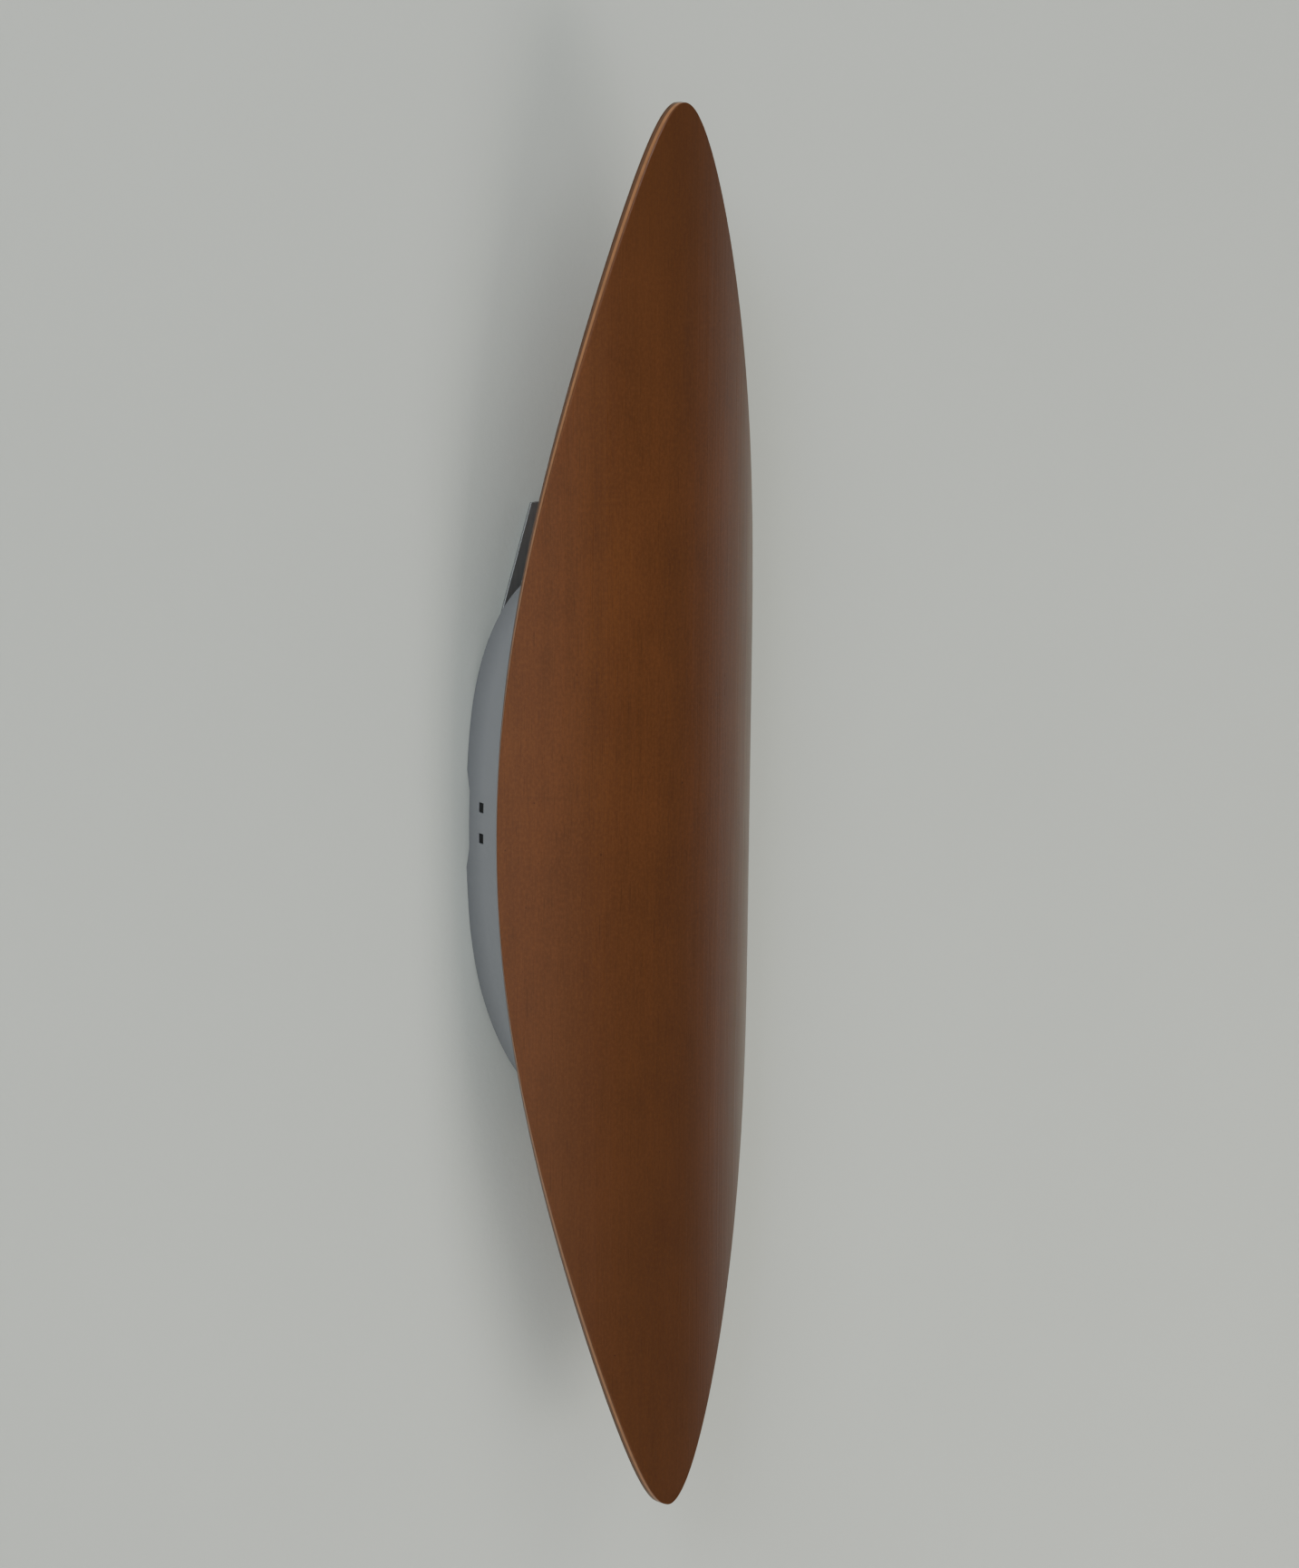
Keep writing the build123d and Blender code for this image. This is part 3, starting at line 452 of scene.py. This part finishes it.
def build_shield():
    """Bent leaf with a slanted cut edge and eased corners. Rows run up the leaf, and each row is one closed ring: front, edge, back, edge."""
    rows = 260
    n_mid = 60
    # (distance in from the corner along the face, distance down the edge) of an eased corner
    corner = [(0.0, 0.42), (0.04, 0.24), (0.12, 0.12), (0.24, 0.04), (0.42, 0.0)]
    side = [0.16, 0.26, 0.36, 0.44, 0.48, 0.52, 0.60, 0.70, 0.80]

    def ring(half, flare):
        """(angle, depth) pairs of one section."""
        k = min(1.0, half / (3.0 * MM))
        t0 = half / R_OUT
        lean = flare / (R_OUT - THICK) / THICK
        inset = 2.0 * MM * k / R_OUT

        def edge(depth):
            return t0 + lean * depth

        faces = []
        for flip in (False, True):
            tip = edge(THICK if flip else 0.0)
            col = []
            for a, b in corner:
                depth = THICK - b * MM if flip else b * MM
                col.append((edge(depth) - a * MM * k / R_OUT, depth))
            flat = THICK if flip else 0.0
            col.append((tip - 0.9 * MM * k / R_OUT, flat))
            mid = [(tip - inset) * (1.0 - 2.0 * i / n_mid) for i in range(n_mid + 1)]
            one = col + [(m, flat) for m in mid] + [(-m, dd) for m, dd in reversed(col)]
            faces.append(one)
        front = list(reversed(faces[0]))            # from the left corner to the right one
        back = faces[1]                             # from the right corner back to the left one
        right = [(edge(THICK * f), THICK * f) for f in side]
        left = [(-edge(THICK * f), THICK * f) for f in reversed(side)]
        return front + right + back + left

    bm = bmesh.new()
    lay = bm.verts.layers.float_vector.new("leaf")
    rings = []
    for i in range(rows + 1):
        a = -math.pi / 2 + math.pi * i / rows
        z = HALF * math.sin(a)
        half = leaf_half(z)
        verts = []
        for th, dep in ring(half, edge_flare(z)):
            r = R_OUT - dep
            v = bm.verts.new((r * math.sin(th), AXIS_Y - r * math.cos(th), z))
            v[lay] = (th * R_OUT, dep, z)
            verts.append(v)
        rings.append(verts)
    n = len(rings[0])
    for i in range(rows):
        for j in range(n):
            k = (j + 1) % n
            bm.faces.new((rings[i][j], rings[i][k], rings[i + 1][k], rings[i + 1][j]))
    bm.normal_update()
    bmesh.ops.remove_doubles(bm, verts=bm.verts, dist=2e-6)
    bmesh.ops.recalc_face_normals(bm, faces=bm.faces)
    me = bpy.data.meshes.new("leaf_shield")
    bm.to_mesh(me)
    bm.free()
    me.shade_smooth()
    me.set_sharp_from_angle(angle=math.radians(50))
    ob = bpy.data.objects.new("leaf_shield", me)
    bpy.context.scene.collection.objects.link(ob)
    me.materials.append(MATS["wood"])
    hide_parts("shield")
    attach(ob, "shield")
    return ob


build_shield()


# ---------------------------------------------------------------- stage
def plane(name, corners, mat):
    me = bpy.data.meshes.new(name)
    me.from_pydata(corners, [], [list(range(len(corners)))])
    me.update()
    ob = bpy.data.objects.new(name, me)
    bpy.context.scene.collection.objects.link(ob)
    me.materials.append(mat)
    return ob


def plaster(name, dark, light, one_sided=False):
    """Pale painted plaster. A one-sided sheet doesn't hide the back of the lamp."""
    t = Tree(name)
    c = t.coords()
    cloud = t.noise(t.mapped(c, (2.2, 2.2, 2.2)), detail=4.0)
    fine = t.noise(t.mapped(c, (320.0, 320.0, 320.0)), detail=5.0, rough=0.6)
    t.set(base_color=t.mix(t.span(cloud, 0.0, 1.0, 0.3, 0.7), dark, light), roughness=0.85,
          normal=t.bump(fine, 0.16, 0.0008))
    if one_sided:
        geo = t.add("ShaderNodeNewGeometry")
        clear = t.add("ShaderNodeBsdfTransparent")
        mix = t.add("ShaderNodeMixShader")
        t.link(geo.outputs["Backfacing"], mix.inputs["Fac"])
        t.link(t.bsdf.outputs["BSDF"], mix.inputs[1])
        t.link(clear.outputs["BSDF"], mix.inputs[2])
        t.link(mix.outputs["Shader"], t.out.inputs["Surface"])
    return t.mat


WALL_Y = 0.6 * MM
FLOOR_Z = -1.15
wall = plane("backdrop_wall", [(-4.0, WALL_Y, FLOOR_Z), (4.0, WALL_Y, FLOOR_Z), (4.0, WALL_Y, 2.2), (-4.0, WALL_Y, 2.2)],
             plaster("wall_paint", srgb(182, 186, 180), srgb(187, 191, 185), one_sided=True))
floor = plane("floor", [(-4.0, -5.0, FLOOR_Z), (4.0, -5.0, FLOOR_Z), (4.0, 4.0, FLOOR_Z), (-4.0, 4.0, FLOOR_Z)],
              plaster("floor_paint", srgb(206, 204, 200), srgb(212, 210, 206)))
floor.visible_glossy = False


# ---------------------------------------------------------------- light
def area(name, where, target, size, power, color=(1, 1, 1)):
    li = bpy.data.lights.new(name, "AREA")
    li.shape = "RECTANGLE"
    li.size, li.size_y = size
    li.energy = power
    li.color = color
    ob = bpy.data.objects.new(name, li)
    bpy.context.scene.collection.objects.link(ob)
    ob.location = where
    ob.rotation_mode = "QUATERNION"
    ob.rotation_quaternion = (Vector(target) - Vector(where)).to_track_quat("-Z", "Y")
    ob.visible_camera = False
    return ob


world = bpy.data.worlds.new("studio")
bpy.context.scene.world = world
world.use_nodes = True
wn = world.node_tree


def wmath(op, a, b=None):
    n = wn.nodes.new("ShaderNodeMath")
    n.operation = op
    for k, v in enumerate((a, b)):
        if v is None:
            continue
        if isinstance(v, (int, float)):
            n.inputs[k].default_value = v
        else:
            wn.links.new(v, n.inputs[k])
    return n.outputs[0]


# a soft room: brighter to both sides and above than straight in front
way = wn.nodes.new("ShaderNodeTexCoord")
axes = wn.nodes.new("ShaderNodeSeparateXYZ")
wn.links.new(way.outputs["Generated"], axes.inputs[0])
to_left = wmath("MAXIMUM", wmath("MULTIPLY", axes.outputs["X"], -1.0), 0.0)
to_right = wmath("MULTIPLY", wmath("SUBTRACT", axes.outputs["X"], 0.75), 4.4)
to_right = wmath("MINIMUM", wmath("MAXIMUM", to_right, 0.0), 1.0)
to_top = wmath("MAXIMUM", axes.outputs["Z"], 0.0)
level = wmath("ADD", wmath("ADD", 0.26, wmath("MULTIPLY", to_left, 1.06)),
              wmath("ADD", wmath("MULTIPLY", to_right, 0.62), wmath("MULTIPLY", to_top, 0.36)))
bg = wn.nodes["Background"]
tint = wn.nodes.new("ShaderNodeMix")
tint.data_type = "RGBA"
wn.links.new(wmath("ADD", wmath("MULTIPLY", axes.outputs["X"], 0.5), 0.5), tint.inputs[0])
tint.inputs[6].default_value = (0.93, 0.98, 1.0, 1.0)
tint.inputs[7].default_value = (1.0, 0.985, 0.95, 1.0)
wn.links.new(tint.outputs[2], bg.inputs["Color"])
wn.links.new(level, bg.inputs["Strength"])
seen = wn.nodes.new("ShaderNodeBackground")
seen.inputs["Color"].default_value = (0.80, 0.81, 0.82, 1.0)
seen.inputs["Strength"].default_value = 0.62
path = wn.nodes.new("ShaderNodeLightPath")
pick = wn.nodes.new("ShaderNodeMixShader")
wn.links.new(path.outputs["Is Camera Ray"], pick.inputs["Fac"])
wn.links.new(bg.outputs["Background"], pick.inputs[1])
wn.links.new(seen.outputs["Background"], pick.inputs[2])
wn.links.new(pick.outputs["Shader"], wn.nodes["World Output"].inputs["Surface"])

area("key_left", (-2.72, -1.78, 2.1), (0, 0, 0), (1.25, 1.25), 71.0, (0.92, 0.985, 1.05))

# soft fill for the right-hand side, without a highlight of its own
fill = area("fill_right", (2.9, -0.55, 0.5), (0, 0, 0), (1.5, 1.5), 7.0, (1.0, 0.99, 0.97))
fill.visible_glossy = False
side = area("body_fill", (2.6, -0.9, 0.7), (0, 0, 0), (1.5, 1.5), 22.0)
side.visible_glossy = False
body = bpy.data.collections.new("metal_body")
for name, obj in NODES.items():
    if name != "shield":
        body.objects.link(obj)
side.light_linking.receiver_collection = body

# two panels to the right, low and high, that light the wall only, so the lamp shades it at upper and lower left
lit = bpy.data.collections.new("washed")
lit.objects.link(wall)
clear = bpy.data.collections.new("floor_clear")
clear.objects.link(floor)
clear.collection_objects[0].light_linking.link_state = "EXCLUDE"
for name, where, power in (("wash_low", (0.5, -1.5, -1.1), 18.5), ("wash_high", (0.35, -1.5, 1.4), 7.5)):
    wash = area(name, where, (0, 0, 0), (1.1, 1.1), power, (1.0, 0.955, 0.87))
    wash.light_linking.receiver_collection = lit
    wash.light_linking.blocker_collection = clear

# light from behind the wall for the back views; the wall doesn't shade it
back = area("back_soft", (1.5, 2.1, -0.5), (0, 0, 0), (2.0, 2.0), 70.0)
back.visible_glossy = False
passed = bpy.data.collections.new("not_blocking")
passed.objects.link(wall)
passed.collection_objects[0].light_linking.link_state = "EXCLUDE"
back.light_linking.blocker_collection = passed

# ---------------------------------------------------------------- camera
YAW, PITCH, ROLL = 0.68909, 0.23819, 0.008933
d = Vector((math.sin(YAW) * math.cos(PITCH), math.cos(YAW) * math.cos(PITCH), -math.sin(PITCH)))
r = Vector((math.cos(YAW), -math.sin(YAW), 0.0))
u = r.cross(d)
right = math.cos(ROLL) * r + math.sin(ROLL) * u
up = -math.sin(ROLL) * r + math.cos(ROLL) * u
cam_data = bpy.data.cameras.new("camera")
cam_data.sensor_width = 36.0
cam_data.lens = 4170.71 / 1730.0 * 36.0
cam_data.clip_start, cam_data.clip_end = 0.05, 30.0
cam = bpy.data.objects.new("camera", cam_data)
bpy.context.scene.collection.objects.link(cam)
m = Matrix((right, up, -d)).transposed().to_4x4()
m.translation = Vector((-0.91029, -1.08787 - 0.056, 0.36458))
cam.matrix_world = m
bpy.context.scene.camera = cam

bpy.context.view_layer.update()
